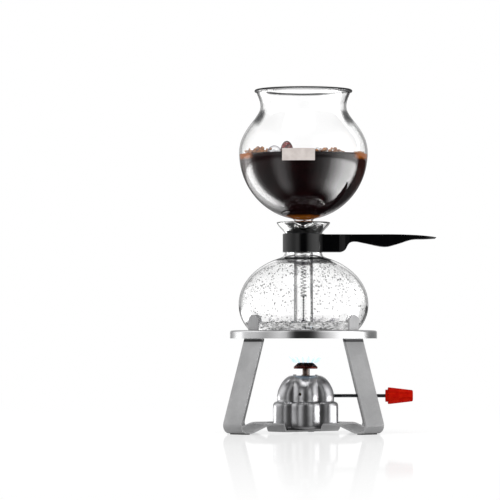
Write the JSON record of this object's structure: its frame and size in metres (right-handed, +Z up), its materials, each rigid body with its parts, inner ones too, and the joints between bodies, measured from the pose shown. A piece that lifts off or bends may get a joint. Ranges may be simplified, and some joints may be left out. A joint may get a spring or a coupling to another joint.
{
  "type": "siphon coffee maker",
  "caption": "Vacuum brewer: a round glass bowl with a siphon tube seated in a handled glass globe, on a strip-steel stand over a lobed gas burner with a red knob.",
  "frame": {"origin": "centre of the footprint's box, on the floor under the feet", "axes": "+Z up, +X along the handle and the control rod, -Y towards the pouring spout"},
  "size_m": [0.2543, 0.1894, 0.4119],
  "materials": {
    "stand_steel": "satin stainless steel",
    "rivet_steel": "plain steel",
    "pad_rubber": "black rubber",
    "clear_glass": "clear borosilicate glass",
    "liner_rubber": "soft black liner",
    "black_plastic": "black moulded plastic, low sheen",
    "screw_steel": "bright plated steel",
    "gasket_rubber": "dark grey rubber",
    "filter_plastic": "natural plastic",
    "filter_cloth": "woven filter cloth",
    "wire_steel": "stainless wire",
    "burner_steel": "polished stainless steel",
    "brass": "plain brass",
    "seal_rubber": "black seal",
    "wick_felt": "felt",
    "neck_steel": "heat-dulled steel",
    "cap_copper": "dark oxidised metal",
    "rod_steel": "dark plated steel",
    "red_plastic": "red moulded plastic"
  },
  "bodies": {
    "stand": {"stand_ring": "stand_steel", "lower_strip": "stand_steel", "upper_strip": "stand_steel", "cross_rivets": "rivet_steel", "foot_pads": "pad_rubber"},
    "carafe": {"lower_globe": "clear_glass", "neck_liner": "liner_rubber", "collar_band": "black_plastic", "handle": "black_plastic", "clamp_screw": "screw_steel", "clamp_nut": "screw_steel"},
    "funnel": {"upper_globe": "clear_glass", "siphon_tube": "clear_glass", "funnel_gasket": "gasket_rubber"},
    "filter": {"filter_plate": "filter_plastic", "filter_mesh": "filter_cloth", "filter_ring": "filter_plastic", "filter_pin": "wire_steel", "filter_spring": "wire_steel", "filter_chain": "wire_steel", "chain_weight": "wire_steel"},
    "burner": {"burner_tank": "burner_steel", "tank_seal": "seal_rubber", "tank_lid": "brass", "burner_dome": "burner_steel", "dome_posts": "brass", "dome_screws": "screw_steel", "pickup_tube": "brass", "pickup_wick": "wick_felt", "valve_body": "brass", "gland_packing": "seal_rubber", "gland_nut": "brass", "gas_jet": "brass", "mixing_tube": "neck_steel", "burner_cap": "cap_copper", "head_clip": "wire_steel", "filler_body": "brass", "filler_seal": "seal_rubber", "filler_spring": "wire_steel"},
    "filler_valve": {"filler_pin": "brass"},
    "valve": {"control_rod": "rod_steel", "control_knob": "red_plastic", "knob_screw": "rod_steel"}
  },
  "joints": [
    {"name": "carafe_lift", "type": "slide", "parent": "stand", "child": "carafe", "axis": [0, 0, 1], "range_m": [0, 0.06]},
    {"name": "funnel_lift", "type": "slide", "parent": "carafe", "child": "funnel", "axis": [0, 0, 1], "range_m": [0, 0.13]},
    {"name": "filter_lift", "type": "slide", "parent": "funnel", "child": "filter", "axis": [0, 0, 1], "range_m": [0, 0.29]},
    {"name": "burner_lift", "type": "slide", "parent": "stand", "child": "burner", "axis": [0, 0, 1], "range_m": [0, 0.02]},
    {"name": "valve_turn", "type": "hinge", "parent": "burner", "child": "valve", "pos_m": [-0.02994, 0, 0.0444], "axis": [1, 0, 0], "range_deg": [0, 270]},
    {"name": "filler_press", "type": "slide", "parent": "burner", "child": "filler_valve", "axis": [0, 0, 1], "range_m": [0, 0.0015], "stiffness_N_per_m": 400, "springref_m": -0.002, "deforming": ["filler_spring"]}
  ]
}
